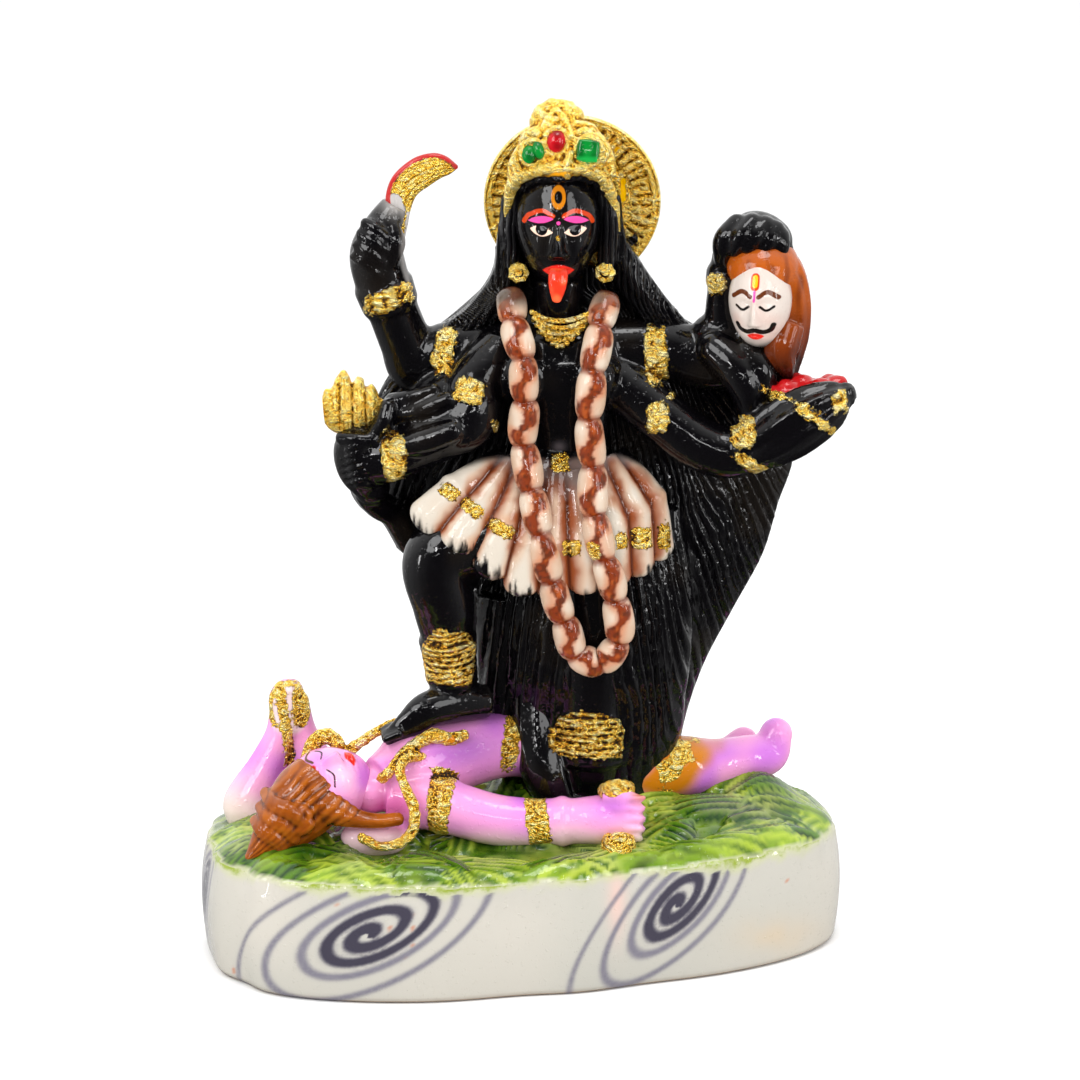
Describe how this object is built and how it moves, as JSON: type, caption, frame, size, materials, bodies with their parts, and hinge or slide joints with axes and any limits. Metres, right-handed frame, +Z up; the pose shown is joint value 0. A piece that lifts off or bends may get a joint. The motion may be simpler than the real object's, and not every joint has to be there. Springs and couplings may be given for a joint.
{
  "type": "goddess figurine",
  "caption": "Glazed ceramic figurine of a many-armed goddess with crown, halo and garland, standing on a reclining figure on a rounded grassy base.",
  "frame": {"origin": "middle of the base's flat underside, where the figurine rests", "axes": "+Z up along the figure's height, -Y the front that the goddess faces, +X to the viewer's right"},
  "size_m": [0.1116, 0.0679, 0.1496],
  "materials": {
    "glazed_ceramic": "high gloss black glaze, with coloured glazes, painted lines and gold leaf"
  },
  "bodies": {
    "root": {"kali_figure": "glazed_ceramic"}
  },
  "joints": []
}
